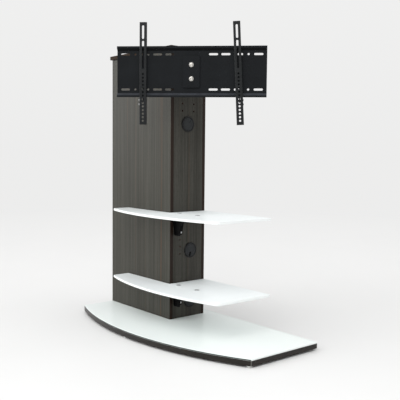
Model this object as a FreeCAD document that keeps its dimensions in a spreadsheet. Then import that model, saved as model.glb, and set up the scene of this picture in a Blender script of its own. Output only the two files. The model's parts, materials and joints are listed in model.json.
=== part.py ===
import FreeCAD, Part
import math
import os

# Television stand: a curved glass-topped base, a hollow wood column at its left,
# two white glass shelves carried on cantilever brackets, and a steel television
# mount on a swivelling arm at the column's right side.
#
# Frame, millimetres: X to the right, Y to the back, Z up. The origin is on the
# floor, at the middle of the base's width and about the middle of its depth. The
# front is the curved side.

V = FreeCAD.Vector
ROT = FreeCAD.Rotation

doc = FreeCAD.newDocument("tv_stand")
sheet = doc.addObject("Spreadsheet::Sheet", "Dims")

# ---------------------------------------------------------------- driving sizes
SIZES = [
    ("BaseWide", 1120.0, "base, left to right"),
    ("BaseFront", -261.4, "furthest forward point of the base"),
    ("BaseBack", 254.0, "back of the base"),
    ("BaseArc", 1337.0, "radius of the base's curved front"),
    ("BaseArcX", -55.0, "where the curved front stands furthest out"),
    ("FootHigh", 7.0, "glide under the base"),
    ("FootWide", 24.0, "glide diameter"),
    ("BoardThick", 20.0, "base board"),
    ("BaseGlass", 6.0, "glass on the base board"),
    ("ColLeft", -560.0, "left face of the column"),
    ("ColFront", -2.0, "front face of the column"),
    ("ColWide", 480.0, "column, left to right"),
    ("ColDeep", 198.0, "column, front to back"),
    ("ColTop", 1232.0, "top of the column panels"),
    ("PanelThick", 16.0, "column panels"),
    ("EndBoard", 22.0, "boards inside the column's ends"),
    ("CapThick", 17.0, "top cap"),
    ("CapOver", 8.0, "overhang of the top cap"),
    ("ShelfLeft", -411.0, "left end of the shelves"),
    ("ShelfRight", 351.0, "right end of the shelves"),
    ("ShelfFront", -149.0, "furthest forward point of the shelves"),
    ("ShelfArc", 1268.0, "radius of the shelves' curved front"),
    ("ShelfArcX", -27.0, "where the shelves stand furthest out"),
    ("ShelfThick", 10.0, "shelf glass"),
    ("ShelfGap", 2.0, "play between shelf glass and column"),
    ("LowShelf", 196.5, "top of the lower shelf"),
    ("HighShelf", 516.0, "top of the upper shelf"),
    ("BarLong", 195.0, "shelf bracket bar"),
    ("BarWide", 35.0, "shelf bracket bar"),
    ("BarThick", 6.0, "shelf bracket bar"),
    ("WebThick", 6.0, "shelf bracket web"),
    ("PadThick", 1.0, "rubber pad under the shelf glass"),
    ("FlangeThick", 5.0, "shelf bracket wall flange"),
    ("StudNear", -24.0, "inner shelf stud"),
    ("StudFar", 103.0, "outer shelf stud"),
    ("StudLine", 4.0, "row of shelf studs, front to back"),
    ("CapHole", 60.4, "cable hole in the column's side"),
    ("CapRing", 70.0, "outer ring of a cable cap"),
    ("CapProud", 4.0, "outer ring of a cable cap, proud of the panel"),
    ("PivX", -34.0, "swivel axis"),
    ("PivY", 95.0, "swivel axis"),
    ("PinWide", 16.0, "swivel pin"),
    ("PinPlay", 0.1, "diametral play of pin and bush"),
    ("HingeMid", 1112.0, "middle height of the hinge"),
    ("BarrelHigh", 76.0, "arm barrel"),
    ("BarrelWide", 34.0, "arm barrel"),
    ("LugThick", 8.0, "hinge lugs"),
    ("Reach", 150.0, "swivel axis to the mount plate's front"),
    ("SwivelRest", 45.0, "turn of the arm from straight ahead"),
    ("MountMid", 1120.0, "middle height of the mount plate"),
    ("MountWide", 630.0, "mount plate"),
    ("MountHalf", 106.0, "mount plate, middle to edge"),
    ("WebHalf", 88.0, "flat web of the mount plate, middle to bend"),
    ("LipOut", 10.0, "lips stand this far in front of the web"),
    ("SheetThick", 2.5, "mount plate and rails"),
    ("SlotRow", 73.0, "rows of slots, from the middle"),
    ("SlotLong", 38.0, "slots in the mount plate"),
    ("SlotHigh", 9.0, "slots and holes in the mount plate"),
    ("BoltHalf", 29.0, "clamp bolts, from the middle"),
    ("RailLeft", -203.0, "left rail, from the mount plate's middle"),
    ("RailRight", 197.0, "right rail, from the mount plate's middle"),
    ("RailWide", 30.0, "rails"),
    ("RailUp", 204.0, "top of the rails, from the mount plate's middle"),
    ("RailDown", 221.0, "bottom of the rails, from the mount plate's middle"),
    ("RailSlot", 9.0, "long slots in the rails"),
    ("RailHole", 8.8, "round holes in the rails"),
    ("RailPitch", 15.0, "spacing of the rails' holes"),
    ("RailLean", -2.9, "lean of the right rail on its lip"),
    ("RailRise", 1.9, "holes and top of the right rail, higher than the left one's"),
]

VALUE = {}
for row, (alias, value, note) in enumerate(SIZES, start=1):
    sheet.set("A%d" % row, note)
    sheet.set("B%d" % row, "%g" % value)
    sheet.setAlias("B%d" % row, alias)
    VALUE[alias] = value
doc.recompute()


class Dim:
    """A length that carries its number and the sheet expression it comes from."""

    def __init__(self, val, txt):
        self.val = float(val)
        self.txt = txt

    def __add__(self, other):
        other = as_dim(other)
        return Dim(self.val + other.val, "(%s + %s)" % (self.txt, other.txt))

    def __radd__(self, other):
        return as_dim(other) + self

    def __sub__(self, other):
        other = as_dim(other)
        return Dim(self.val - other.val, "(%s - %s)" % (self.txt, other.txt))

    def __rsub__(self, other):
        return as_dim(other) - self

    def __mul__(self, other):
        other = as_dim(other)
        return Dim(self.val * other.val, "(%s * %s)" % (self.txt, other.txt))

    def __rmul__(self, other):
        return as_dim(other) * self

    def __truediv__(self, other):
        other = as_dim(other)
        return Dim(self.val / other.val, "(%s / %s)" % (self.txt, other.txt))

    def __neg__(self):
        return Dim(-self.val, "(0 - %s)" % self.txt)


def as_dim(value):
    if isinstance(value, Dim):
        return value
    if value < 0:
        return Dim(value, "(0 - %.6g)" % -value)
    return Dim(value, "%.6g" % value)


def D(alias):
    return Dim(VALUE[alias], "Dims." + alias)


def num(value):
    return value.val if isinstance(value, Dim) else float(value)


def bind(obj, prop, value):
    if isinstance(value, Dim):
        obj.setExpression(prop, value.txt)


def place(obj, x, y, z, rot=None):
    obj.Placement = FreeCAD.Placement(V(num(x), num(y), num(z)), rot or ROT())
    bind(obj, "Placement.Base.x", x)
    bind(obj, "Placement.Base.y", y)
    bind(obj, "Placement.Base.z", z)
    return obj


AXES = {
    "Z": ROT(),
    "-Z": ROT(V(1, 0, 0), 180),
    "X": ROT(V(0, 1, 0), 90),
    "-X": ROT(V(0, 1, 0), -90),
    "Y": ROT(V(1, 0, 0), -90),
    "-Y": ROT(V(1, 0, 0), 90),
}

COUNT = [0]


def new(kind, hint):
    COUNT[0] += 1
    return doc.addObject(kind, "%s_%03d" % (hint, COUNT[0]))


def box(x, y, z, lx, ly, lz):
    """A block from its lowest corner and its three lengths."""
    obj = new("Part::Box", "Block")
    for prop, value in (("Length", lx), ("Width", ly), ("Height", lz)):
        setattr(obj, prop, num(value))
        bind(obj, prop, value)
    return place(obj, x, y, z)


def cyl(diameter, length, x, y, z, axis="Z"):
    """A round bar that starts at a point and runs along an axis."""
    obj = new("Part::Cylinder", "Round")
    radius = diameter / 2
    obj.Radius = num(radius)
    bind(obj, "Radius", radius)
    obj.Height = num(length)
    bind(obj, "Height", length)
    return place(obj, x, y, z, AXES[axis])


def cone(d_start, d_end, length, x, y, z, axis="Z"):
    obj = new("Part::Cone", "Taper")
    for prop, value in (("Radius1", d_start / 2), ("Radius2", d_end / 2), ("Height", length)):
        setattr(obj, prop, num(value))
        bind(obj, prop, value)
    return place(obj, x, y, z, AXES[axis])


def hexa(flats, length, x, y, z, axis="Z"):
    obj = new("Part::Prism", "Hex")
    obj.Polygon = 6
    obj.Circumradius = num(flats) / math.sqrt(3.0)
    obj.Height = num(length)
    bind(obj, "Height", length)
    return place(obj, x, y, z, AXES[axis])


def fuse(items):
    items = list(items)
    if len(items) == 1:
        return items[0]
    obj = new("Part::MultiFuse", "Join")
    obj.Shapes = items
    obj.Refine = True
    return obj


def cut(base, tools):
    tools = list(tools)
    obj = new("Part::Cut", "Cut")
    obj.Base = base
    obj.Tool = fuse(tools)
    obj.Refine = True
    return obj


def common(first, second):
    obj = new("Part::Common", "Common")
    obj.Base = first
    obj.Tool = second
    return obj


def group(items):
    obj = new("Part::Compound", "Set")
    obj.Links = list(items)
    return obj


def slot_tool(x, y, z, length, width, depth, along):
    """A round-ended slot cut through along Y; its length runs along X or Z."""
    half = (length - width) / 2
    if along == "X":
        body = box(x - half, y, z - width / 2, half * 2, depth, width)
        ends = [cyl(width, depth, x - half, y, z, "Y"), cyl(width, depth, x + half, y, z, "Y")]
    else:
        body = box(x - width / 2, y, z - half, width, depth, half * 2)
        ends = [cyl(width, depth, x, y, z - half, "Y"), cyl(width, depth, x, y, z + half, "Y")]
    return [body] + ends


def profile_pad(hint, role, points, length):
    """A PartDesign body: a closed outline, every corner bound to the sheet, padded."""
    body = new("PartDesign::Body", hint)
    sketch = body.newObject("Sketcher::SketchObject", hint + "Outline")
    plane = [f for f in body.Origin.OriginFeatures if f.Role == role][0]
    sketch.AttachmentSupport = [(plane, "")]
    sketch.MapMode = "FlatFace"
    import Sketcher
    corners = [V(num(a), num(b), 0) for a, b in points]
    count = len(corners)
    for i in range(count):
        sketch.addGeometry(Part.LineSegment(corners[i], corners[(i + 1) % count]), False)
    for i in range(count):
        sketch.addConstraint(Sketcher.Constraint("Coincident", i, 2, (i + 1) % count, 1))
    for i, (a, b) in enumerate(points):
        for kind, value in (("DistanceX", a), ("DistanceY", b)):
            index = sketch.addConstraint(Sketcher.Constraint(kind, -1, 1, i, 1, num(value)))
            if isinstance(value, Dim):
                sketch.setExpression("Constraints[%d]" % index, value.txt)
    pad = body.newObject("PartDesign::Pad", hint + "Pad")
    pad.Profile = sketch
    pad.Length = num(length)
    bind(pad, "Length", length)
    body.Tip = pad
    return body


def round_edges(base, radius_of):
    """Rounds the edges for which radius_of gives a radius."""
    doc.recompute()
    picks = []
    for index, edge in enumerate(base.Shape.Edges, start=1):
        radius = radius_of(edge)
        if radius:
            picks.append((index, radius, radius))
    obj = new("Part::Fillet", "Rounded")
    obj.Base = base
    obj.Edges = picks
    return obj


def runs_along(edge, axis, least):
    """True for a straight edge along X, Y or Z that is at least so long."""
    ends = [v.Point for v in edge.Vertexes]
    if len(ends) != 2 or edge.Length < least:
        return False
    step = ends[1] - ends[0]
    return abs(abs(getattr(step, axis)) - edge.Length) < 1e-4


NODES = []


def node(name, obj):
    obj.Label = name
    NODES.append((name, obj))
    return obj


# ---------------------------------------------------------------- levels and faces
board_low = D("FootHigh")
glass_low = board_low + D("BoardThick")
base_top = glass_low + D("BaseGlass")
col_right = D("ColLeft") + D("ColWide")
col_back = D("ColFront") + D("ColDeep")
panel = D("PanelThick")
in_left = D("ColLeft") + panel
in_right = col_right - panel
in_front = D("ColFront") + panel
in_back = col_back - panel
in_wide = D("ColWide") - 2 * panel
in_deep = D("ColDeep") - 2 * panel
panel_high = D("ColTop") - base_top
front_edge = D("BaseFront")
base_deep = D("BaseBack") - D("BaseFront")

# ---------------------------------------------------------------- fastener places
ANCHORS = [(-500, 40), (-140, 40), (-500, 154), (-140, 154)]
FEET = [(-58, -247), (544, -104), (538, 232), (-538, 232), (-538, -140), (0, 232), (260, -160)]
DOWEL_Z = [150, 450, 750, 1050]
CAM_Z = [300, 600, 900, 1150]
BOARD_Z = [44, 648, 1221]
BOARD_Y = [50, 144]
BACK_Z = [90, 350, 620, 900, 1190]
LID_SCREWS = [(-500, 50), (-140, 50), (-500, 144), (-140, 144)]
HINGE_Y = [63, 127]
HINGE_USED = [1064, 1160]
HINGE_SPARE = [968, 1000]
SHELF_TOPS = [("lower", D("LowShelf")), ("upper", D("HighShelf"))]
BRACKET_SCREWS = [(55, -92), (55, -30), (38, -30)]
SPARE_LADDER = [326, 358, 390]
CABLE_CAPS = [("top", 93, 910, 30), ("middle", 112.5, 339, 190), ("bottom", 112.5, 109, 60)]


# ---------------------------------------------------------------- base
def base_outline(z, thick):
    blank = box(-(D("BaseWide") / 2), front_edge - 20, z, D("BaseWide"), base_deep + 20, thick)
    sweep = cyl(2 * D("BaseArc"), thick, D("BaseArcX"), front_edge + D("BaseArc"), z)
    return common(blank, sweep)


board_tools = []
for x, y in ANCHORS:
    board_tools.append(cyl(as_dim(22), as_dim(10), x, y, board_low - 1))
    board_tools.append(cyl(as_dim(9), D("BoardThick") + 2, x, y, board_low - 1))
for x, y in FEET:
    board_tools.append(cyl(as_dim(4.1), as_dim(13.2), x, y, board_low - 1))
node("base_board", cut(base_outline(board_low, D("BoardThick")), board_tools))

glass_tools = [cyl(as_dim(14), D("BaseGlass") + 2, x, y, glass_low - 1) for x, y in ANCHORS]
node("base_glass", cut(base_outline(glass_low, D("BaseGlass")), glass_tools))

feet = []
for x, y in FEET:
    foot = cone(D("FootWide") - 4, D("FootWide"), D("FootHigh"), x, y, 0)
    feet.append(cut(foot, [cyl(as_dim(10), as_dim(4), x, y, -1), cyl(as_dim(4.2), D("FootHigh") + 2, x, y, -1)]))
node("base_feet", group(feet))
node("foot_screws", group([
    fuse([cyl(as_dim(8), as_dim(2.4), x, y, 0.6), cyl(as_dim(4), as_dim(16), x, y, 2.9)]) for x, y in FEET]))

node("anchor_bolts", group([
    fuse([cut(cyl(as_dim(13), as_dim(7), x, y, 7.4), [hexa(as_dim(6), as_dim(4), x, y, 6.4)]),
          cyl(as_dim(8), as_dim(35.7), x, y, 14.3)]) for x, y in ANCHORS]))
node("anchor_washers", group([
    cut(cyl(as_dim(20), as_dim(1.6), x, y, 14.4), [cyl(as_dim(8.6), as_dim(4), x, y, 13)]) for x, y in ANCHORS]))
node("anchor_inserts", group([
    cut(cyl(as_dim(12), as_dim(18), x, y, base_top), [cyl(as_dim(8.1), as_dim(22), x, y, base_top - 2)])
    for x, y in ANCHORS]))

# ---------------------------------------------------------------- column
side_mid = [D("ColLeft") + panel / 2, col_right - panel / 2]
cam_mid = [in_left - 6, in_right + 6]

front_tools = []
for x in side_mid:
    front_tools += [cyl(as_dim(8.1), as_dim(12.1), x, in_front + 1, z, "-Y") for z in DOWEL_Z]
for x in cam_mid:
    front_tools += [cyl(as_dim(6.2), as_dim(12.2), x, in_front + 1, z, "-Y") for z in CAM_Z]
node("column_front_panel", cut(
    box(D("ColLeft"), D("ColFront"), base_top, D("ColWide"), panel, panel_high), front_tools))

back_tools = []
back_spots = [(x, z) for x in side_mid for z in BACK_Z] + [(-320, z) for z in BOARD_Z]
for x, z in back_spots:
    back_tools.append(cyl(as_dim(4.6), panel + 2, x, in_back - 1, z, "Y"))
    back_tools.append(cone(as_dim(4.6), as_dim(8.6), as_dim(3), x, col_back - 3, z, "Y"))
node("column_back_panel", cut(
    box(D("ColLeft"), in_back, base_top, D("ColWide"), panel, panel_high), back_tools))


def side_tools(outer_face, inward, mid, cam):
    """Holes in a side panel's edges and inner face for its dowels, cams and screws."""
    tools = []
    for z in DOWEL_Z:
        tools.append(cyl(as_dim(8.1), as_dim(20.2), mid, in_front - 1, z, "Y"))
    for z in CAM_Z:
        tools.append(cyl(as_dim(6.2), as_dim(34), cam, in_front - 1, z, "Y"))
        start = cam - 6.2 if inward == "X" else cam + 6.2
        tools.append(cyl(as_dim(15.1), as_dim(14), start, in_front + 34, z, inward))
    for z in BACK_Z:
        tools.append(cyl(as_dim(4.1), as_dim(25.2), mid, in_back + 1, z, "-Y"))
    for z in BOARD_Z:
        for y in BOARD_Y:
            start = outer_face + 5 if inward == "X" else outer_face - 5
            tools.append(cyl(as_dim(8.1), as_dim(14), start, y, z, inward))
    return tools


node("column_left_panel", cut(
    box(D("ColLeft"), in_front, base_top, panel, in_deep, panel_high),
    side_tools(D("ColLeft"), "X", side_mid[0], cam_mid[0])))

right_tools = side_tools(col_right, "-X", side_mid[1], cam_mid[1])
for name, y, z, clock in CABLE_CAPS:
    right_tools.append(cyl(D("CapHole"), panel + 2, in_right - 1, y, z, "X"))
for y in HINGE_Y:
    for z in HINGE_USED + HINGE_SPARE:
        right_tools.append(cyl(as_dim(9 if z in HINGE_USED else 7), panel + 2, in_right - 1, y, z, "X"))
for shelf, top in SHELF_TOPS:
    for y, dz in BRACKET_SCREWS:
        right_tools.append(cyl(as_dim(7), panel + 2, in_right - 1, y, top + dz, "X"))
for z in SPARE_LADDER:
    right_tools.append(cyl(as_dim(6), panel + 2, in_right - 1, 54, z, "X"))
node("column_right_panel", cut(
    box(in_right, in_front, base_top, panel, in_deep, panel_high), right_tools))


def board_edge_holes(z):
    tools = []
    for y in BOARD_Y:
        tools.append(cyl(as_dim(8.1), as_dim(20.2), in_left - 1, y, z, "X"))
        tools.append(cyl(as_dim(8.1), as_dim(20.2), in_right + 1, y, z, "-X"))
    tools.append(cyl(as_dim(4.1), as_dim(25.2), -320, in_back + 1, z, "-Y"))
    return tools


node("column_bottom_board", cut(
    box(in_left, in_front, base_top, in_wide, in_deep, D("EndBoard")),
    board_edge_holes(BOARD_Z[0])
    + [cyl(as_dim(12.1), as_dim(19.2), x, y, base_top - 1) for x, y in ANCHORS]))
node("column_mid_board", cut(
    box(in_left, in_front, BOARD_Z[1] - panel / 2, in_wide, in_deep, panel),
    board_edge_holes(BOARD_Z[1]) + [box(in_right - 94, 62, BOARD_Z[1] - panel, 96, 70, panel * 2)]))
node("column_top_board", cut(
    box(in_left, in_front, D("ColTop") - D("EndBoard"), in_wide, in_deep, D("EndBoard")),
    board_edge_holes(BOARD_Z[2])
    + [cyl(as_dim(5), D("EndBoard") + 2, x, y, D("ColTop") - D("EndBoard") - 1) for x, y in LID_SCREWS]))
node("column_top_cap", cut(
    box(D("ColLeft") - D("CapOver"), D("ColFront") - D("CapOver"), D("ColTop"),
        D("ColWide") + 2 * D("CapOver"), D("ColDeep") + 2 * D("CapOver"), D("CapThick")),
    [cyl(as_dim(4.6), as_dim(10.2), x, y, D("ColTop") - 1) for x, y in LID_SCREWS]))
node("cap_screws", group([
    fuse([cyl(as_dim(9), as_dim(4), x, y, D("ColTop") - D("EndBoard") - 4),
          cyl(as_dim(4.5), as_dim(31), x, y, D("ColTop") - D("EndBoard") - 0.1)]) for x, y in LID_SCREWS]))

dowels = [cyl(as_dim(8), as_dim(30), x, in_front - 11, z, "Y") for x in side_mid for z in DOWEL_Z]
for z in BOARD_Z:
    for y in BOARD_Y:
        dowels.append(cyl(as_dim(8), as_dim(30), in_left - 11, y, z, "X"))
        dowels.append(cyl(as_dim(8), as_dim(30), in_right + 11, y, z, "-X"))
node("column_dowels", group(dowels))

cams = []
for x in cam_mid:
    for z in CAM_Z:
        drum = cyl(as_dim(15), as_dim(12), x - 6, in_front + 34, z, "X")
        side = x + 5 if x.val < -300 else x - 7
        cams.append(cut(drum, [box(side, in_front + 34 - 5, z - 0.8, 2, 10, 1.6),
                               box(side, in_front + 34 - 0.8, z - 5, 2, 1.6, 10)]))
node("cam_locks", group(cams))
node("cam_bolts", group([cyl(as_dim(6), as_dim(37.3), x, in_front - 11, z, "Y") for x in cam_mid for z in CAM_Z]))

node("back_panel_screws", group([
    fuse([cone(as_dim(4), as_dim(8), as_dim(3), x, col_back - 3, z, "Y"),
          cyl(as_dim(4), as_dim(37), x, col_back - 40, z, "Y")]) for x, z in back_spots]))

# ---------------------------------------------------------------- cable caps
for name, y, z, clock in CABLE_CAPS:
    ring = fuse([cyl(D("CapRing"), D("CapProud"), col_right, y, z, "X"),
                 cyl(D("CapHole") - 0.4, as_dim(18.1), col_right - 18, y, z, "X")])
    node("cable_ring_" + name, cut(ring, [
        cyl(D("CapHole") - 4.4, as_dim(34), col_right - 24, y, z, "X"),
        cyl(D("CapHole") - 2.4, as_dim(3), col_right - 4, y, z, "X")]))
    lid = fuse([cyl(D("CapHole") - 5.2, D("CapProud") + 0.8, col_right - 0.6, y, z, "X"),
                cyl(D("CapHole") - 5.2, as_dim(11.5), col_right - 12, y, z, "X"),
                cyl(D("CapHole") - 3.2, as_dim(1.8), col_right - 3.4, y, z, "X")])
    # the top cap keeps its notch as a knock-out, marked by a 1 mm recess; the others are open
    notch_start = col_right + D("CapProud") - 0.8 if name == "top" else col_right - 20
    notch = box(notch_start, y - 4, z + 7, 30, 8, 26)
    turn = ROT(V(1, 0, 0), -clock)
    corner = turn.multVec(V(0, -4, 7))
    notch.Placement = FreeCAD.Placement(V(num(notch_start), y + corner.y, z + corner.z), turn)
    notch.setExpression("Placement.Base.x", notch_start.txt)
    node("cable_cap_" + name, cut(lid, [
        cyl(D("CapHole") - 9.4, as_dim(20), col_right - 20.6, y, z, "X"), notch]))

# ---------------------------------------------------------------- shelves
shelf_deep = col_back - D("ShelfFront")
shelf_wide = D("ShelfRight") - D("ShelfLeft")


def round_corners(base, targets):
    """Rounds upright edges, found by their place in plan."""
    doc.recompute()
    picks = []
    for index, edge in enumerate(base.Shape.Edges, start=1):
        ends = [v.Point for v in edge.Vertexes]
        if len(ends) != 2 or abs(ends[0].x - ends[1].x) > 0.01 or abs(ends[0].y - ends[1].y) > 0.01:
            continue
        for x, y, reach, radius in targets:
            if math.hypot(ends[0].x - x, ends[0].y - y) < reach:
                picks.append((index, radius, radius))
    obj = new("Part::Fillet", "Rounded")
    obj.Base = base
    obj.Edges = picks
    return obj


for shelf, top in SHELF_TOPS:
    low = top - D("ShelfThick")
    blank = box(D("ShelfLeft"), D("ShelfFront") - 20, low, shelf_wide, shelf_deep + 20, D("ShelfThick"))
    sweep = cyl(2 * D("ShelfArc"), D("ShelfThick"), D("ShelfArcX"), D("ShelfFront") + D("ShelfArc"), low)
    plan = cut(common(blank, sweep), [
        box(D("ShelfLeft") - 5, D("ColFront") - D("ShelfGap"), low - 1,
            col_right + D("ShelfGap") - D("ShelfLeft") + 5, D("ColDeep") + 20, D("ShelfThick") + 2)])
    soft = round_corners(plan, [(351, -91.3, 8, 15.0), (-411, -89.5, 8, 8.0), (351, 196, 4, 3.0),
                                (-78, -4, 3, 5.0), (-411, -4, 3, 4.0), (-78, 196, 3, 4.0)])
    node(shelf + "_shelf_glass", cut(soft, [
        cyl(as_dim(8), D("ShelfThick") + 2, D("StudNear"), D("StudLine"), low - 1),
        cyl(as_dim(8), D("ShelfThick") + 2, D("StudFar"), D("StudLine"), low - 1)]))

pads, discs, nuts, screws, backs = [], [], [], [], []
for shelf, top in SHELF_TOPS:
    low = top - D("ShelfThick")
    bar_top = low - D("PadThick")
    bar_low = bar_top - D("BarThick")
    wall = col_right + D("FlangeThick")

    bar = box(col_right + 1, D("StudLine") - 13, bar_low, D("BarLong") + 4, D("BarWide"), D("BarThick"))

    # wall flange, a plate that narrows downwards
    flange = profile_pad(shelf + "Flange", "YZ_Plane", [
        (as_dim(24), as_dim(5.5)), (as_dim(60), as_dim(5.5)),
        (as_dim(80), as_dim(97)), (as_dim(4), as_dim(97))], D("FlangeThick"))
    place(flange, col_right, 0, top - 108.5)

    # web with its deep rib against the wall
    web = profile_pad(shelf + "Web", "XZ_Plane", [
        (as_dim(4), as_dim(5.5)), (as_dim(39), as_dim(5.5)), (as_dim(49), as_dim(52)), (as_dim(60), as_dim(64)),
        (D("BarLong") - 3, as_dim(83)), (D("BarLong") - 3, as_dim(92)), (as_dim(4), as_dim(92))], D("WebThick"))
    place(web, col_right, 25, top - 108.5)

    solid = fuse([bar, flange, web])
    tools = [cyl(as_dim(6.6), as_dim(30), D("StudNear"), D("StudLine"), bar_low - 5),
             cyl(as_dim(6.6), as_dim(30), D("StudFar"), D("StudLine"), bar_low - 5)]
    tools += [cyl(as_dim(6.6), as_dim(10), col_right - 2, y, top + dz, "X") for y, dz in BRACKET_SCREWS]
    node(shelf + "_shelf_bracket", cut(solid, tools))

    for stud in (D("StudNear"), D("StudFar")):
        pads.append(cut(cyl(as_dim(20), D("PadThick"), stud, D("StudLine"), bar_top),
                        [cyl(as_dim(8), as_dim(6), stud, D("StudLine"), bar_top - 2)]))
        discs.append(fuse([cone(as_dim(22), as_dim(20.5), as_dim(2.5), stud, D("StudLine"), top),
                           cyl(as_dim(6), as_dim(26), stud, D("StudLine"), top - 25.5)]))
        nuts.append(cut(hexa(as_dim(10), as_dim(6), stud, D("StudLine"), bar_low - 6),
                        [cyl(as_dim(6.1), as_dim(10), stud, D("StudLine"), bar_low - 8)]))
    for y, dz in BRACKET_SCREWS:
        screws.append(cut(fuse([cone(as_dim(8.8), as_dim(6.8), as_dim(3.3), wall, y, top + dz, "X"),
                                cyl(as_dim(6), as_dim(26.1), wall - 26, y, top + dz, "X")]),
                          [hexa(as_dim(4), as_dim(3), wall + 1.5, y, top + dz, "X")]))
    backs.append(cut(box(in_right - 3, 26, top - 106, 3, 44, 88),
                     [cyl(as_dim(6.1), as_dim(9), in_right - 6, y, top + dz, "X") for y, dz in BRACKET_SCREWS]))
node("shelf_pads", group(pads))
node("shelf_discs", group(discs))
node("shelf_nuts", group(nuts))
node("bracket_screws", group(screws))
node("bracket_backing_plates", group(backs))

# ---------------------------------------------------------------- hinge on the column
barrel_low = D("HingeMid") - D("BarrelHigh") / 2
barrel_top = D("HingeMid") + D("BarrelHigh") / 2
lug_low = barrel_low - 2 - D("LugThick")
lug_top = barrel_top + 2
hinge_face = col_right + 6

lugs = []
for z in (lug_low, lug_top):
    lugs.append(box(hinge_face - 1, D("PivY") - 20, z, D("PivX") - hinge_face + 1, 40, D("LugThick")))
    lugs.append(cyl(as_dim(40), D("LugThick"), D("PivX"), D("PivY"), z))
hinge_flat = round_edges(box(col_right, D("PivY") - 50, D("HingeMid") - 66, 6, 100, 132),
                         lambda e: 8.0 if runs_along(e, "x", 5) else 0)
hinge_blank = fuse([hinge_flat] + lugs)
hinge_tools = [cyl(D("PinWide") + D("PinPlay"), as_dim(140), D("PivX"), D("PivY"), D("HingeMid") - 70)]
hinge_tools += [cyl(as_dim(8.6), as_dim(10), col_right - 2, y, z, "X") for y in HINGE_Y for z in HINGE_USED]
node("hinge_plate", cut(hinge_blank, hinge_tools))

node("hinge_screws", group([
    cut(fuse([cone(as_dim(14), as_dim(10), as_dim(4.4), hinge_face, y, z, "X"),
              cyl(as_dim(8), as_dim(30.1), hinge_face - 30, y, z, "X")]),
        [hexa(as_dim(5), as_dim(4), hinge_face + 2, y, z, "X")]) for y in HINGE_Y for z in HINGE_USED]))
node("hinge_backing_plate", cut(
    box(in_right - 5, 45, 1040, 5, 100, 144),
    [cyl(as_dim(8.1), as_dim(12), in_right - 8, y, z, "X") for y in HINGE_Y for z in HINGE_USED]))

node("swivel_pin", fuse([
    cyl(as_dim(26), as_dim(8), D("PivX"), D("PivY"), lug_low - 8),
    cyl(D("PinWide"), as_dim(112.1), D("PivX"), D("PivY"), lug_low - 0.1)]))
nut_low = lug_top + D("LugThick") + 3
node("pin_washer", cut(cyl(as_dim(30), as_dim(3), D("PivX"), D("PivY"), nut_low - 3),
                       [cyl(as_dim(16.4), as_dim(6), D("PivX"), D("PivY"), nut_low - 4.5)]))
node("pin_nut", cut(hexa(as_dim(24), as_dim(12), D("PivX"), D("PivY"), nut_low),
                    [cyl(as_dim(16.1), as_dim(16), D("PivX"), D("PivY"), nut_low - 2)]))
node("friction_washers", group([
    cut(cyl(D("BarrelWide"), as_dim(1.6), D("PivX"), D("PivY"), z),
        [cyl(as_dim(16.4), as_dim(4), D("PivX"), D("PivY"), z - 1)])
    for z in (barrel_low - 2, barrel_top + 0.4)]))


# ---------------------------------------------------------------- swivelling pieces
# These are drawn with the swivel axis at the origin and the arm straight ahead
# (towards -Y), then turned to the rest angle about the swivel axis.
def swivelled(obj, x=0.0, z=0.0, lean=None):
    turn = ROT(V(0, 0, 1), VALUE["SwivelRest"])
    spot = turn.multVec(V(num(x), 0, 0))
    if lean is not None:
        turn = turn.multiply(ROT(V(0, 1, 0), VALUE[lean]))
    obj.Placement = FreeCAD.Placement(
        V(VALUE["PivX"] + spot.x, VALUE["PivY"] + spot.y, num(z)), turn)
    if isinstance(x, Dim):
        obj.setExpression("Placement.Base.x", "Dims.PivX + %s * cos(Dims.SwivelRest * 1 deg)" % x.txt)
        obj.setExpression("Placement.Base.y", "Dims.PivY + %s * sin(Dims.SwivelRest * 1 deg)" % x.txt)
    else:
        obj.setExpression("Placement.Base.x", "Dims.PivX")
        obj.setExpression("Placement.Base.y", "Dims.PivY")
    bind(obj, "Placement.Base.z", z)
    return obj


sheet_back = -(D("Reach") - D("SheetThick"))          # back of the mount plate's web
sheet_front = -D("Reach")
clamp_front = sheet_front - 5
head_low = D("MountMid") - 60
bolt_z = [D("MountMid") - D("BoltHalf"), D("MountMid") + D("BoltHalf")]
arm_low = D("HingeMid") - 28

tube_out = round_edges(
    box(-20, sheet_back + 9, arm_low, 40, D("Reach") - D("SheetThick") - 19, 56),
    lambda e: 6.0 if runs_along(e, "y", 60) else 0)
tube_in = round_edges(
    box(-16, sheet_back + 8, arm_low + 4, 32, D("Reach") - D("SheetThick") - 28, 48),
    lambda e: 2.5 if runs_along(e, "y", 60) else 0)
head = round_edges(box(-33, sheet_back, head_low, 66, 10, 120), lambda e: 4.0 if runs_along(e, "y", 9) else 0)
arm_blank = fuse([
    cyl(D("BarrelWide"), D("BarrelHigh"), 0, 0, barrel_low),
    cut(tube_out, [tube_in]),
    head])
arm_tools = [cyl(as_dim(20.1), as_dim(90), 0, 0, barrel_low - 7)]
arm_tools += [cyl(as_dim(10.1), as_dim(14), 0, sheet_back - 2, z, "Y") for z in bolt_z]
node("swivel_arm", swivelled(cut(arm_blank, arm_tools)))

node("arm_bushes", swivelled(group([
    cut(cyl(as_dim(20), as_dim(25), 0, 0, z),
        [cyl(D("PinWide") + D("PinPlay"), as_dim(30), 0, 0, z - 2)])
    for z in (barrel_low, barrel_top - 25)])))

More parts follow.
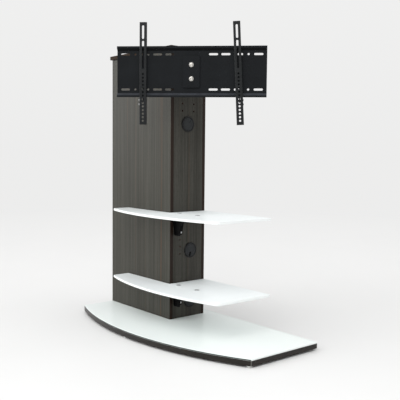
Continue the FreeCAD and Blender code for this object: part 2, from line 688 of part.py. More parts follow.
# mount plate: one bent sheet; the outline is drawn 20 mm in front of the web's back
bend = 0.41421356 * D("SheetThick")
sheet_t = D("SheetThick")
lip = D("LipOut")
mid = D("MountHalf") + 5
plate_outline = [
    (20 - as_dim(0), mid - D("WebHalf") - bend),
    (20 - lip, mid - D("WebHalf") - lip - bend),
    (20 - lip, mid - D("MountHalf")),
    (20 - lip - sheet_t, mid - D("MountHalf")),
    (20 - lip - sheet_t, mid - D("WebHalf") - lip),
    (20 - sheet_t, mid - D("WebHalf")),
    (20 - sheet_t, mid + D("WebHalf")),
    (20 - lip - sheet_t, mid + D("WebHalf") + lip),
    (20 - lip - sheet_t, mid + D("MountHalf")),
    (20 - lip, mid + D("MountHalf")),
    (20 - lip, mid + D("WebHalf") + lip + bend),
    (20 - as_dim(0), mid + D("WebHalf") + bend),
]
plate_blank = profile_pad("MountSheet", "YZ_Plane", plate_outline, D("MountWide"))
place(plate_blank, -(D("MountWide") / 2), sheet_back - 20, D("MountMid") - mid)


def bend_radius(edge):
    """Inside and outside radii of the four bends."""
    if not runs_along(edge, "x", 300):
        return 0
    spot = edge.Vertexes[0].Point
    v = abs(spot.z - num(D("MountMid")))
    if v > num(D("MountHalf")) - 0.1:
        return 0
    inside = abs(spot.y - num(sheet_front)) < 0.01 or abs(spot.y - num(sheet_back - lip)) < 0.01
    return 1.5 if inside else 4.0


plate_soft = round_edges(plate_blank, bend_radius)
plate_tools = [cyl(as_dim(11), as_dim(12), 0, sheet_front - 4, z, "Y") for z in bolt_z]
for z in (D("MountMid") - D("SlotRow"), D("MountMid") + D("SlotRow")):
    for side in (-1, 1):
        for x in (92, 143.5, 280):
            plate_tools += slot_tool(as_dim(side * x), sheet_front - 3, z, D("SlotLong"), D("SlotHigh"), as_dim(8), "X")
        for x in (183, 197, 210.5, 238):
            plate_tools.append(cyl(D("SlotHigh"), as_dim(8), side * x, sheet_front - 3, z, "Y"))
node("mount_plate", swivelled(cut(plate_soft, plate_tools)))

node("clamp_plate", swivelled(cut(
    round_edges(box(-35, clamp_front, D("MountMid") - 66, 70, 5, 132),
                lambda e: 3.0 if runs_along(e, "y", 4) else 0),
    [cyl(as_dim(11), as_dim(9), 0, clamp_front - 2, z, "Y") for z in bolt_z])))
node("clamp_washers", swivelled(group([
    cut(cyl(as_dim(20), as_dim(1.6), 0, clamp_front - 1.6, z, "Y"),
        [cyl(as_dim(10.5), as_dim(5), 0, clamp_front - 3, z, "Y")]) for z in bolt_z])))
node("clamp_bolts", swivelled(group([
    cut(fuse([cone(as_dim(12), as_dim(16.5), as_dim(5), 0, clamp_front - 6.6, z, "Y"),
              cyl(as_dim(10), as_dim(17.4), 0, clamp_front - 1.7, z, "Y")]),
        [hexa(as_dim(6), as_dim(4), 0, clamp_front - 7.6, z, "Y")]) for z in bolt_z])))


# rails: channels that hang on the upper lip and are locked behind the lower one
def rail_blank(lock_side, rise):
    half = D("RailWide") / 2
    front = sheet_front - lip - 3 - sheet_t                # outer face of the rail
    inner = front + sheet_t
    rear = sheet_front - 3                                 # rear edge of the deep flanges
    upper = D("RailUp") + rise
    tall = upper + D("RailDown")
    hook = D("MountHalf") + 1.5
    parts = [box(-half, front, -D("RailDown"), D("RailWide"), sheet_t, tall)]
    for x in (-half, half - sheet_t):
        deep = rear - inner
        parts.append(box(x, inner - 0.5, hook, sheet_t, deep + 0.5, upper - hook))
        parts.append(box(x, rear - 3.7, hook - 7, sheet_t, 3.7, as_dim(8)))
        parts.append(box(x, inner - 0.5, -hook - 1, sheet_t, as_dim(2.7), 2 * hook + 2))
        parts.append(box(x, inner - 0.5, -D("RailDown"), sheet_t, deep + 0.5, D("RailDown") - hook - 0.5))
    tools = []
    tools += slot_tool(as_dim(0), front - 2, upper - 41, as_dim(56), D("RailSlot"), as_dim(7), "Z")
    tools += slot_tool(as_dim(0), front - 2, upper - 135, as_dim(116), D("RailSlot"), as_dim(7), "Z")
    for i in range(14):
        tools.append(cyl(D("RailHole"), as_dim(7), 0, front - 2, upper - 214.3 - i * D("RailPitch"), "Y"))
    for z in (-118, -136):
        tools.append(cyl(as_dim(5.5), as_dim(8), lock_side * 18, sheet_front - 8, z, "-X" if lock_side > 0 else "X"))
    channel = round_edges(
        fuse(parts),
        lambda e: 3.0 if runs_along(e, "z", 400) and abs(e.Vertexes[0].Point.y - num(front)) < 0.01 else 0)
    return cut(channel, tools)


def rail_lock(side):
    """Tongue behind the lower lip, a strap and a tapped tab beside the rail's flange."""
    y = sheet_front - 6.5
    tongue = box(-2.5, y, -128, 5, 3.5, 28.5)
    strap = box(-12.4 if side < 0 else 0, y, -128, 12.4, 3.5, 5)
    tab = box(-12.4 if side < 0 else 9.9, sheet_front - 12.9, -146, 2.5, 9.9, 34)
    axis = "-X" if side > 0 else "X"
    return cut(fuse([tongue, strap, tab]), [
        cyl(as_dim(5.1), as_dim(8), side * 15, sheet_front - 8, z, axis) for z in (-118, -136)])


def lock_screws(side, head):
    axis = "-X" if side > 0 else "X"
    return group([
        fuse([cyl(as_dim(9), as_dim(head), side * (15 + head), sheet_front - 8, z, axis),
              cyl(as_dim(5), as_dim(6.1), side * 15.1, sheet_front - 8, z, axis)]) for z in (-118, -136)])


mount_z = D("MountMid")
node("left_rail", swivelled(rail_blank(-1, as_dim(0)), D("RailLeft"), mount_z))
node("left_rail_lock", swivelled(rail_lock(-1), D("RailLeft"), mount_z))
node("left_lock_screws", swivelled(lock_screws(-1, 4.0), D("RailLeft"), mount_z))
node("right_rail", swivelled(rail_blank(1, D("RailRise")), D("RailRight"), mount_z, "RailLean"))
node("right_rail_lock", swivelled(rail_lock(1), D("RailRight"), mount_z, "RailLean"))
node("right_lock_screws", swivelled(lock_screws(1, 2.0), D("RailRight"), mount_z, "RailLean"))

# ---------------------------------------------------------------- checks and files
doc.recompute()
for obj in doc.Objects:
    state = list(obj.State)
    if "Invalid" in state or "Error" in state:
        raise RuntimeError("failed object %s (%s): %s" % (obj.Name, obj.Label, state))

os.makedirs("parts", exist_ok=True)
for name, obj in NODES:
    shape = obj.Shape
    if shape.isNull() or not shape.isValid() or not shape.Solids:
        raise RuntimeError("bad shape in " + name)
    if min(s.Volume for s in shape.Solids) <= 0:
        raise RuntimeError("empty solid in " + name)

for name, obj in NODES:
    obj.Shape.exportStep("parts/%s.step" % name)
    bb = obj.Shape.BoundBox
    print("%-24s solids %2d  volume %10.0f  x %7.1f %7.1f  y %7.1f %7.1f  z %7.1f %7.1f" % (
        name, len(obj.Shape.Solids), obj.Shape.Volume, bb.XMin, bb.XMax, bb.YMin, bb.YMax, bb.ZMin, bb.ZMax))
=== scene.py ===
import json
import math

import bmesh
import bpy
from mathutils import Matrix, Vector
from mathutils.geometry import tessellate_polygon


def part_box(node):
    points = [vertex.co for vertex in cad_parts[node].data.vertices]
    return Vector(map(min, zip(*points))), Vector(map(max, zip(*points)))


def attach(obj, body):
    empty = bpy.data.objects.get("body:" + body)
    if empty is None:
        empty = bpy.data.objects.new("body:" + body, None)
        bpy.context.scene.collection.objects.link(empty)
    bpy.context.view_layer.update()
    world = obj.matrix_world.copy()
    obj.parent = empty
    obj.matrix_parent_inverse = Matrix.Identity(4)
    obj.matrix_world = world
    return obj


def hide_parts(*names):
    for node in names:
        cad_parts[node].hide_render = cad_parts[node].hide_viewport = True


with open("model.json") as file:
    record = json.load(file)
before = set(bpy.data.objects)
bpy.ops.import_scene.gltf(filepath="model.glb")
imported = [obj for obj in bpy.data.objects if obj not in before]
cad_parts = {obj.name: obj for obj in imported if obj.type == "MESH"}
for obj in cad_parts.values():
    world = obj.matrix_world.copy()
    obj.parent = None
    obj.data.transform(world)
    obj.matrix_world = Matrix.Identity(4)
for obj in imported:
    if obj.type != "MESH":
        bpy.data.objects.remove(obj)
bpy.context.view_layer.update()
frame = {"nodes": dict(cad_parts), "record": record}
NODE = frame["nodes"]
BODY = {n: b for b, members in frame["record"]["behaviour"]["bodies"].items() for n in members}
scene = bpy.context.scene


# ------------------------------------------------------------------ shader nodes
class Shader:
    """A procedural material built round one Principled shader."""

    def __init__(self, name, **sockets):
        self.mat = bpy.data.materials.new(name)
        self.mat.use_nodes = True
        self.tree = self.mat.node_tree
        self.tree.nodes.clear()
        self.out = self.tree.nodes.new("ShaderNodeOutputMaterial")
        self.bsdf = self.tree.nodes.new("ShaderNodeBsdfPrincipled")
        self.tree.links.new(self.bsdf.outputs[0], self.out.inputs[0])
        for key, value in sockets.items():
            self.bsdf.inputs[key.replace("_", " ")].default_value = value
        self.coord = self.tree.nodes.new("ShaderNodeTexCoord")
        self.geo = self.tree.nodes.new("ShaderNodeNewGeometry")
        self.place = self.coord.outputs["Object"]

    def node(self, kind, **props):
        n = self.tree.nodes.new(kind)
        for key, value in props.items():
            setattr(n, key, value)
        return n

    def link(self, source, target):
        if hasattr(source, "is_output"):
            self.tree.links.new(source, target)
        else:
            target.default_value = source

    def to(self, socket, source):
        self.link(source, self.bsdf.inputs[socket])

    def stretch(self, scale, turn=(0, 0, 0), vector=None):
        n = self.node("ShaderNodeMapping")
        self.link(vector or self.place, n.inputs["Vector"])
        n.inputs["Rotation"].default_value = turn
        n.inputs["Scale"].default_value = scale
        return n.outputs[0]

    def noise(self, scale, detail=3.0, rough=0.55, distort=0.0, vector=None):
        n = self.node("ShaderNodeTexNoise")
        self.link(vector or self.place, n.inputs["Vector"])
        n.inputs["Scale"].default_value = scale
        n.inputs["Detail"].default_value = detail
        n.inputs["Roughness"].default_value = rough
        n.inputs["Distortion"].default_value = distort
        return n.outputs["Fac"]

    def cells(self, scale, vector=None, feature="F1"):
        n = self.node("ShaderNodeTexVoronoi", feature=feature)
        self.link(vector or self.place, n.inputs["Vector"])
        n.inputs["Scale"].default_value = scale
        return n.outputs["Distance"]

    def ramp(self, fac, stops, interpolation="LINEAR"):
        n = self.node("ShaderNodeValToRGB")
        n.color_ramp.interpolation = interpolation
        while len(n.color_ramp.elements) > 1:
            n.color_ramp.elements.remove(n.color_ramp.elements[-1])
        first = True
        for pos, col in stops:
            if first:
                e = n.color_ramp.elements[0]
                e.position = pos
                first = False
            else:
                e = n.color_ramp.elements.new(pos)
            if isinstance(col, (int, float)):
                col = (col, col, col)
            e.color = (col[0], col[1], col[2], 1.0)
        self.link(fac, n.inputs["Fac"])
        return n.outputs["Color"]

    def span(self, value, a, b, c=0.0, d=1.0):
        n = self.node("ShaderNodeMapRange")
        self.link(value, n.inputs["Value"])
        n.inputs["From Min"].default_value = a
        n.inputs["From Max"].default_value = b
        n.inputs["To Min"].default_value = c
        n.inputs["To Max"].default_value = d
        return n.outputs["Result"]

    def mix(self, fac, a, b, blend="MIX"):
        n = self.node("ShaderNodeMix", data_type="RGBA", blend_type=blend)
        self.link(fac, n.inputs["Factor"])
        for value, socket in ((a, n.inputs[6]), (b, n.inputs[7])):
            if not hasattr(value, "is_output"):
                value = (value[0], value[1], value[2], 1.0)
            self.link(value, socket)
        return n.outputs[2]

    def math(self, op, a, b=0.0):
        n = self.node("ShaderNodeMath", operation=op)
        self.link(a, n.inputs[0])
        self.link(b, n.inputs[1])
        return n.outputs[0]

    def axes(self, vector):
        n = self.node("ShaderNodeSeparateXYZ")
        self.link(vector, n.inputs[0])
        return n.outputs

    def facing(self, axis):
        """0 to 1: how far the surface faces along an axis, either way."""
        return self.math("ABSOLUTE", self.axes(self.geo.outputs["Normal"])[axis])

    def bump(self, height, strength, distance):
        n = self.node("ShaderNodeBump")
        n.inputs["Strength"].default_value = strength
        n.inputs["Distance"].default_value = distance
        self.link(height, n.inputs["Height"])
        old = self.bsdf.inputs["Normal"]
        if old.is_linked:
            self.tree.links.new(old.links[0].from_socket, n.inputs["Normal"])
        self.tree.links.new(n.outputs[0], old)


def veneer(name, dark, mid, light, band=None, band_axis=None, rough=(0.3, 0.44), spec=0.5, grain="Z", streaks=0.35, tan=(0.115, 0.072, 0.042)):
    """Open-pored dark veneer: long fibres, soft streaks, pores, and a plain band on the board's edges."""
    m = Shader(name, Specular_IOR_Level=spec)
    run = {"Z": (1.0, 1.0, 0.0), "X": (0.0, 1.0, 1.0)}[grain]

    def along(k):
        return m.stretch(tuple(v or k for v in run))

    fine = m.noise(620, 5, 0.65, 0.0, along(0.02))
    streak = m.noise(105, 4, 0.62, 0.25, along(0.01))
    broad = m.noise(38, 3, 0.55, 0.5, along(0.014))
    cloud = m.noise(5.5, 3, 0.5, 0.6, along(0.3))
    pores = m.noise(1500, 2, 0.5, 0.0, along(0.03))
    vein = m.noise(64, 3, 0.5, 0.15, along(0.006))
    mixed = m.math("ADD", m.math("MULTIPLY", fine, 0.3), m.math("ADD", m.math("MULTIPLY", streak, 0.42), m.math("MULTIPLY", broad, 0.28)))
    tone = m.ramp(mixed, [(0.4, dark), (0.5, mid), (0.6, light)])
    tone = m.mix(m.span(cloud, 0.35, 0.68, 0.0, 0.2), tone, tuple(v * 1.4 for v in mid))
    tone = m.mix(m.span(vein, 0.6, 0.74, 0.0, streaks), tone, tan)
    hole = m.span(pores, 0.35, 0.41, 1.0, 0.0)
    tone = m.mix(m.math("MULTIPLY", hole, 0.55), tone, tuple(v * 0.45 for v in dark))
    if band is not None:
        grit = m.noise(900, 3, 0.6)
        plain_tone = m.mix(grit, tuple(v * 0.8 for v in band), tuple(v * 1.2 for v in band))
        edge = m.span(m.facing(band_axis), 0.6, 0.75, 1.0, 0.0)
        tone = m.mix(edge, tone, plain_tone)
    m.to("Base Color", tone)
    m.to("Roughness", m.span(m.math("ADD", fine, m.math("MULTIPLY", cloud, 0.6)), 0.55, 1.05, rough[0], rough[1]))
    m.bump(m.math("SUBTRACT", fine, m.math("MULTIPLY", hole, 0.8)), 0.22, 0.0005)
    return m.mat


def back_painted_glass(name, top, edge, front=None, under=None, rough=(0.08, 0.16), spec=0.15):
    """Glass painted white underneath, with a grey backing coat. Given front, the edges that face forward are coloured
    near black green, the glass's own green with a painted reflection of the dark board below; the other edges keep the
    edge colour.
    """
    m = Shader(name, Specular_IOR_Level=spec)
    haze = m.noise(2.2, 3, 0.5, 0.4)
    dust = m.noise(420, 2, 0.5)
    wipe = m.noise(9, 4, 0.6, 1.2, m.stretch((1.0, 3.0, 1.0)))
    tone = m.mix(m.span(haze, 0.35, 0.7), top, tuple(v * 0.98 for v in top))
    rim = m.span(m.facing(2), 0.2, 0.5, 1.0, 0.0)
    line = m.noise(60, 2, 0.5, 0.0, m.stretch((0.1, 0.1, 4.0)))
    side = m.mix(m.span(line, 0.35, 0.65), edge, tuple(min(1.0, v * 1.06) for v in edge))
    if front is not None:
        ahead = m.span(m.axes(m.geo.outputs["Normal"])[1], -0.62, -0.48, 1.0, 0.0)
        # forward-facing edges: the glass's green darkened by a painted reflection of the board
        glass_green_and_painted_reflection = m.mix(m.span(line, 0.35, 0.65), front, tuple(v * 1.35 for v in front))
        side = m.mix(ahead, side, glass_green_and_painted_reflection)
    if under is not None:
        roller = m.noise(26, 4, 0.6, 0.2, m.stretch((1.0, 0.2, 1.0)))
        coat = m.mix(roller, tuple(v * 0.9 for v in under), tuple(v * 1.1 for v in under))
        tone = m.mix(m.span(m.axes(m.geo.outputs["Normal"])[2], -0.8, -0.6, 1.0, 0.0), tone, coat)
    m.to("Base Color", m.mix(rim, tone, side))
    speck = m.span(dust, 0.68, 0.74, 0.0, 0.2)
    m.to("Roughness", m.math("ADD", m.span(wipe, 0.3, 0.75, rough[0], rough[1]), speck))
    m.bump(haze, 0.04, 0.002)
    return m.mat


def powder_coat(name, tone, rough=(0.42, 0.56), spec=0.3, worn=(0.07, 0.07, 0.07), dust=None):
    """Satin powder coat: orange peel and faint rub marks. Given a dust colour, faces that point up take it, part dust
    and part painted highlight, and faces that point down are painted darker as painted shade.
    """
    m = Shader(name, Specular_IOR_Level=spec)
    peel = m.noise(1100, 2, 0.5)
    cloud = m.noise(14, 4, 0.6, 0.3)
    rub = m.noise(55, 5, 0.7, 1.5, m.stretch((1.0, 1.0, 0.25)))
    base = m.mix(m.span(cloud, 0.3, 0.7), tuple(v * 0.86 for v in tone), tuple(v * 1.16 for v in tone))
    base = m.mix(m.span(rub, 0.66, 0.8, 0.0, 0.5), base, worn)
    if dust is not None:
        rise = m.axes(m.geo.outputs["Normal"])[2]
        grains = m.noise(330, 4, 0.7)
        drift = m.noise(24, 3, 0.6, 0.5)
        # faces that point down are painted darker, to a fifth of the tone: painted shade
        base = m.mix(m.span(rise, -0.6, -0.25, 0.9, 0.0), base, tuple(v * 0.2 for v in tone))
        # faces that point up take the dust colour in patches: real dust, and a painted highlight on up-facing slopes
        # and bends such as the plate's lower lip
        dust_and_highlight_mask = m.math("MULTIPLY", m.span(rise, 0.25, 0.72), m.span(m.math("ADD", grains, drift), 0.75, 1.25, 0.55, 1.0))
        base = m.mix(dust_and_highlight_mask, base, dust)
    m.to("Base Color", base)
    m.to("Roughness", m.span(m.math("ADD", cloud, m.math("MULTIPLY", peel, 0.5)), 0.4, 1.1, rough[0], rough[1]))
    m.bump(peel, 0.22, 0.0004)
    return m.mat


def plated(name, tone, rough=(0.2, 0.34), dark=0.55):
    """Zinc or nickel plate with turning marks and a few dull spots."""
    m = Shader(name, Metallic=1.0)
    fine = m.noise(900, 4, 0.6)
    dull = m.noise(160, 4, 0.65, 0.8)
    m.to("Base Color", m.mix(m.span(dull, 0.55, 0.75), tone, tuple(v * dark for v in tone)))
    m.to("Roughness", m.span(m.math("ADD", fine, dull), 0.7, 1.3, rough[0], rough[1]))
    m.bump(fine, 0.12, 0.0002)
    return m.mat


def moulded(name, tone, rough=(0.4, 0.55), grain=1400, spec=0.4, **extra):
    """Moulded plastic or rubber with a fine spark-eroded grain."""
    m = Shader(name, Specular_IOR_Level=spec, **extra)
    pit = m.noise(grain, 3, 0.6)
    cloud = m.noise(40, 3, 0.5)
    m.to("Base Color", m.mix(m.span(cloud, 0.3, 0.7), tuple(v * 0.88 for v in tone), tuple(v * 1.12 for v in tone)))
    m.to("Roughness", m.span(pit, 0.3, 0.7, rough[0], rough[1]))
    m.bump(pit, 0.25, 0.0003)
    return m.mat


def raw_board(name, tone):
    """Bare chipboard: flattened flakes of several tones."""
    m = Shader(name, Specular_IOR_Level=0.2)
    flakes = m.cells(420, m.stretch((1.0, 1.0, 1.6)))
    blur = m.noise(160, 4, 0.7, 0.4)
    m.to("Base Color", m.ramp(m.math("ADD", flakes, m.math("MULTIPLY", blur, 0.5)), [
        (0.3, tuple(v * 0.62 for v in tone)), (0.55, tone), (0.85, tuple(min(1.0, v * 1.25) for v in tone))]))
    m.to("Roughness", m.span(blur, 0.3, 0.7, 0.72, 0.88))
    m.bump(flakes, 0.3, 0.0006)
    return m.mat


BAND = (0.02, 0.0115, 0.008)
MATS = {
    # front_wood and side_wood are one veneer: the side copy is set about a tenth lighter with half the gloss, tuned to
    # how light falls on each face
    "front_wood": veneer("front_wood", (0.0315, 0.0303, 0.0242), (0.0455, 0.0441, 0.0356), (0.0645, 0.0624, 0.0508), BAND, 1, spec=0.13, streaks=0.55, tan=(0.11, 0.062, 0.034)),
    "side_wood": veneer("side_wood", (0.0335, 0.0318, 0.0274), (0.0498, 0.0481, 0.0416), (0.0725, 0.0696, 0.0607), BAND, 0, spec=0.06, streaks=0.42, tan=(0.1, 0.06, 0.036)),
    "base_wood": veneer("base_wood", (0.007, 0.005, 0.0038), (0.0125, 0.0095, 0.0072), (0.02, 0.0158, 0.012), grain="X", rough=(0.3, 0.42), spec=0.28, streaks=0.12),
    "cap_wood": veneer("cap_wood", (0.0185, 0.0097, 0.0048), (0.026, 0.0143, 0.0074), (0.036, 0.0208, 0.011), grain="X", rough=(0.38, 0.52), spec=0.02, streaks=0.12),
    # base glass: its forward edges are near black green, part the glass's own colour, part painted reflection of the
    # dark board
    "base_glass": back_painted_glass("base_white_glass", (0.865, 0.915, 0.898), (0.86, 0.9, 0.885), front=(0.03, 0.042, 0.039), spec=0.06),
    "shelf_glass": back_painted_glass("shelf_white_glass", (0.888, 0.928, 0.932), (0.9, 0.93, 0.925), under=(0.88, 0.89, 0.89), rough=(0.3, 0.42), spec=0.1),
    # black steel: the dust colour on up-facing faces also serves as a painted highlight, and down-facing faces carry
    # painted shade
    "black_steel": powder_coat("black_steel", (0.0078, 0.0091, 0.0106), rough=(0.46, 0.6), spec=0.12, worn=(0.03, 0.031, 0.032), dust=(0.046, 0.05, 0.059)),
    # bracket steel is about a third as dark as the other black steel: painted shade for where the brackets sit under
    # the shelves
    "bracket_steel": powder_coat("bracket_steel", (0.0022, 0.0022, 0.0024), rough=(0.42, 0.56), spec=0.05, worn=(0.009, 0.009, 0.009)),
    "rail_steel": powder_coat("rail_steel", (0.0112, 0.0125, 0.0134), rough=(0.4, 0.52), spec=0.22, worn=(0.05, 0.052, 0.053)),
    "black_screw": powder_coat("black_screw", (0.014, 0.014, 0.015), rough=(0.3, 0.42)),
    "bright_steel": plated("bright_steel", (0.87, 0.845, 0.8), rough=(0.14, 0.26)),
    "screw_steel": plated("screw_steel", (0.66, 0.66, 0.67), rough=(0.24, 0.36)),
    "dull_steel": plated("dull_steel", (0.36, 0.36, 0.365), rough=(0.3, 0.42)),
    "satin_steel": plated("satin_nickel", (0.6, 0.615, 0.62), rough=(0.36, 0.5), dark=0.85),
    "steel": plated("zinc_steel", (0.62, 0.62, 0.63)),
    "zinc": plated("cast_zinc", (0.55, 0.55, 0.55), rough=(0.4, 0.55)),
    "cap_plastic": moulded("cap_plastic", (0.0125, 0.0148, 0.0162), spec=0.3),
    "ring_plastic": moulded("ring_plastic", (0.0045, 0.005, 0.0056), rough=(0.32, 0.46), spec=0.24),
    # lighter steel for every bevel face: part wear, part painted highlight along the edges
    "worn_and_highlit_edge_steel": powder_coat("worn_edge_steel_painted_highlight", (0.03, 0.022, 0.0195), rough=(0.28, 0.4), spec=0.3, worn=(0.15, 0.13, 0.12)),
    "worn_wood": veneer("worn_edge_wood", (0.011, 0.0068, 0.0048), (0.021, 0.0134, 0.0096), (0.06, 0.038, 0.025), rough=(0.36, 0.5), spec=0.14, streaks=0.2),
    # pale tone for the base board's corners: the edge-band joint plus a painted highlight
    "pale_joint_painted_highlight": moulded("pale_joint_painted_highlight", (0.115, 0.112, 0.102), rough=(0.4, 0.55), grain=600, spec=0.3),
    "clear_plastic": moulded("frosted_plastic", (0.78, 0.8, 0.78), rough=(0.3, 0.45), grain=700, Transmission_Weight=0.25),
    "pad_rubber": moulded("pad_rubber", (0.03, 0.03, 0.03), rough=(0.7, 0.85), grain=900),
    "nylon": moulded("nylon", (0.8, 0.79, 0.74), rough=(0.4, 0.52), grain=900),
    "inner_board": raw_board("chipboard", (0.42, 0.32, 0.22)),
    # chipboard darkened about tenfold for the walls of the bores: painted shade inside the holes
    "bore_wall_painted_shade": raw_board("bored_chipboard_painted_shade", (0.042, 0.014, 0.009)),
    "dowel_wood": veneer("dowel_wood", (0.42, 0.3, 0.18), (0.52, 0.39, 0.25), (0.62, 0.48, 0.33), rough=(0.6, 0.75), streaks=0.0),
}


# ------------------------------------------------------------------ mesh helpers
def add(name, bm, mat, node=None, body=None, extra=()):
    """Turns a bmesh into a piece that rides on a body and may stand for CAD nodes."""
    bmesh.ops.recalc_face_normals(bm, faces=bm.faces)
    me = bpy.data.meshes.new(name)
    bm.to_mesh(me)
    bm.free()
    for p in me.polygons:
        p.use_smooth = True
    ob = bpy.data.objects.new(name, me)
    scene.collection.objects.link(ob)
    for one in (mat if isinstance(mat, tuple) else (mat,)):
        me.materials.append(MATS[one])
    w = ob.modifiers.new("weighted", "WEIGHTED_NORMAL")
    w.weight = 60
    w.keep_sharp = True
    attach(ob, body or BODY[node])
    if node:
        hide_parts(node, *extra)
    return ob


def inset(loop, d):
    """Moves a closed loop inwards by d (outwards if negative). Loops run anticlockwise."""
    out = []
    n = len(loop)
    for i in range(n):
        p0, p1, p2 = Vector(loop[i - 1]), Vector(loop[i]), Vector(loop[(i + 1) % n])
        a, b = (p1 - p0).normalized(), (p2 - p1).normalized()
        na, nb = Vector((-a.y, a.x)), Vector((-b.y, b.x))
        mid = na + nb
        if mid.length < 1e-9:
            mid = na
        mid.normalize()
        out.append(tuple(p1 + mid * (d / max(0.3, mid.dot(na)))))
    return out


def area(loop):
    return 0.5 * sum(a[0] * b[1] - b[0] * a[1] for a, b in zip(loop, loop[1:] + loop[:1]))


def slab(bm, outline, low, high, to3, r=0.001, seg=3, holes=(), hole_r=0.0004, wall=0, edge=0):
    """A plate of any outline with softened edges and through holes; wall and edge pick the finish of
    the holes' walls and of the softened edges."""
    if area(outline) < 0:
        outline = outline[::-1]
    loops = [(outline, r, 1)] + [(h if area(h) > 0 else h[::-1], hole_r, -1) for h in holes]
    caps = {0: [], 1: []}
    for loop, rad, sign in loops:
        levels = []
        for k in range(seg + 1):
            t = math.pi / 2 * k / seg
            levels.append((rad * (1 - math.sin(t)), low + rad * (1 - math.cos(t))))
        levels += [(d, high - (h - low)) for d, h in reversed(levels)]
        rings = []
        for d, h in levels:
            ring = inset(loop, d * sign) if d > 1e-9 else loop
            rings.append([bm.verts.new(to3(a, b, h)) for a, b in ring])
        n = len(loop)
        for k, (lo, hi) in enumerate(zip(rings, rings[1:])):
            for i in range(n):
                j = (i + 1) % n
                f = bm.faces.new((lo[i], lo[j], hi[j], hi[i]))
                if sign < 0:
                    f.material_index = wall
                elif k != seg:
                    f.material_index = edge
        caps[0].append((rings[0], inset(loop, rad * sign)))
        caps[1].append((rings[-1], inset(loop, rad * sign)))
    for side in caps.values():
        verts = [v for ring, _ in side for v in ring]
        polys = [[Vector((a, b, 0)) for a, b in flat] for _, flat in side]
        if len(polys) == 1:
            bm.faces.new(verts)
        else:
            for tri in tessellate_polygon(polys):
                if len(set(tri)) == 3:
                    try:
                        bm.faces.new([verts[i] for i in tri])
                    except ValueError:
                        pass


def basis(axis):
    """Two directions square to an axis."""
    w = Vector(axis).normalized()
    u = Vector((0, 0, 1)) if abs(w.z) < 0.9 else Vector((1, 0, 0))
    u = (u - w * u.dot(w)).normalized()
    return u, w.cross(u), w


def lathe(bm, profile, centre, axis, n=48, closed=False):
    """Turns (radius, height) points about an axis. Open ends on the axis are closed by fans."""
    u, v, w = basis(axis)
    c = Vector(centre)
    rings = []
    for r, h in profile:
        if r < 1e-7:
            rings.append([bm.verts.new(c + w * h)])
        else:
            rings.append([bm.verts.new(c + w * h + (u * math.cos(t) + v * math.sin(t)) * r)
                          for t in (2 * math.pi * i / n for i in range(n))])
    pairs = list(zip(rings, rings[1:])) + ([(rings[-1], rings[0])] if closed else [])
    for a, b in pairs:
        for i in range(n):
            j = (i + 1) % n
            if len(a) == 1 and len(b) == 1:
                continue
            if len(a) == 1:
                bm.faces.new((a[0], b[j], b[i]))
            elif len(b) == 1:
                bm.faces.new((a[i], a[j], b[0]))
            else:
                bm.faces.new((a[i], a[j], b[j], b[i]))


def arc(cx, cy, r, t0, t1, n):
    return [(cx + r * math.cos(t0 + (t1 - t0) * i / n), cy + r * math.sin(t0 + (t1 - t0) * i / n)) for i in range(n + 1)]


def circle(cx, cy, r, n=40):
    return [(cx + r * math.cos(2 * math.pi * i / n), cy + r * math.sin(2 * math.pi * i / n)) for i in range(n)]


def button(bm, centre, axis, d, h, flats, depth, shank=0.0, shank_d=0.0, n=48):
    """A button-head screw with a hexagon socket; the head stands on centre, along axis."""
    u, v, w = basis(axis)
    c = Vector(centre)

    def ring(r, z):
        return [bm.verts.new(c + w * z + (u * math.cos(t) + v * math.sin(t)) * r)
                for t in (2 * math.pi * i / n for i in range(n))]

    def hexring(f, z):
        out = []
        for i in range(n):
            t = 2 * math.pi * i / n
            k = (t % (math.pi / 3)) - math.pi / 6
            out.append(bm.verts.new(c + w * z + (u * math.cos(t) + v * math.sin(t)) * (f / 2 / math.cos(k))))
        return out

    R = d / 2
    rows = []
    if shank > 0:
        rows += [ring(shank_d / 2 * 0.8, -shank), ring(shank_d / 2, -shank + shank_d * 0.12), ring(shank_d / 2, -0.00002)]
        tip = bm.verts.new(c - w * shank)
    else:
        tip = bm.verts.new(c)
    rows += [ring(R * 0.985, 0.0), ring(R, h * 0.06), ring(R * 0.995, h * 0.22)]
    for k in range(1, 7):
        t = k / 7 * math.pi / 2
        rows.append(ring(R * (0.62 + 0.375 * math.cos(t)), h * (0.22 + 0.78 * math.sin(t))))
    rows.append(ring(R * 0.6, h))
    rows += [hexring(flats * 1.05, h), hexring(flats, h - 0.0002), hexring(flats, h - depth), hexring(flats * 0.4, h - depth * 1.12)]
    for i in range(n):
        bm.faces.new((tip, rows[0][(i + 1) % n], rows[0][i]))
    for a, b in zip(rows, rows[1:]):
        for i in range(n):
            j = (i + 1) % n
            bm.faces.new((a[i], a[j], b[j], b[i]))
    end = bm.verts.new(c + w * (h - depth * 1.15))
    for i in range(n):
        bm.faces.new((rows[-1][i], rows[-1][(i + 1) % n], end))


def refine(node, mat, r=0.0006, seg=2, least=0.004, angle=28, edge=None):
    """The node's own solid, welded, its flat faces joined and its long edges softened."""
    bm = bmesh.new()
    bm.from_mesh(NODE[node].data)
    bmesh.ops.remove_doubles(bm, verts=bm.verts, dist=3e-6)
    bmesh.ops.dissolve_degenerate(bm, dist=1e-6, edges=bm.edges)
    bmesh.ops.dissolve_limit(bm, angle_limit=math.radians(0.25), use_dissolve_boundaries=False,
                             verts=bm.verts, edges=bm.edges, delimit=set())
    sharp = [e for e in bm.edges if len(e.link_faces) == 2 and e.calc_length() > least
             and e.calc_face_angle(0.0) > math.radians(angle)]
    if sharp and r > 0:
        bmesh.ops.bevel(bm, geom=sharp, offset=r, offset_type="OFFSET", segments=seg, profile=0.5,
                        affect="EDGES", clamp_overlap=True, material=1 if edge else -1)
    ob = add("look_" + node, bm, (mat, edge) if edge else mat, node)
    me = ob.data
    me.set_sharp_from_angle(angle=math.radians(38))
    return ob


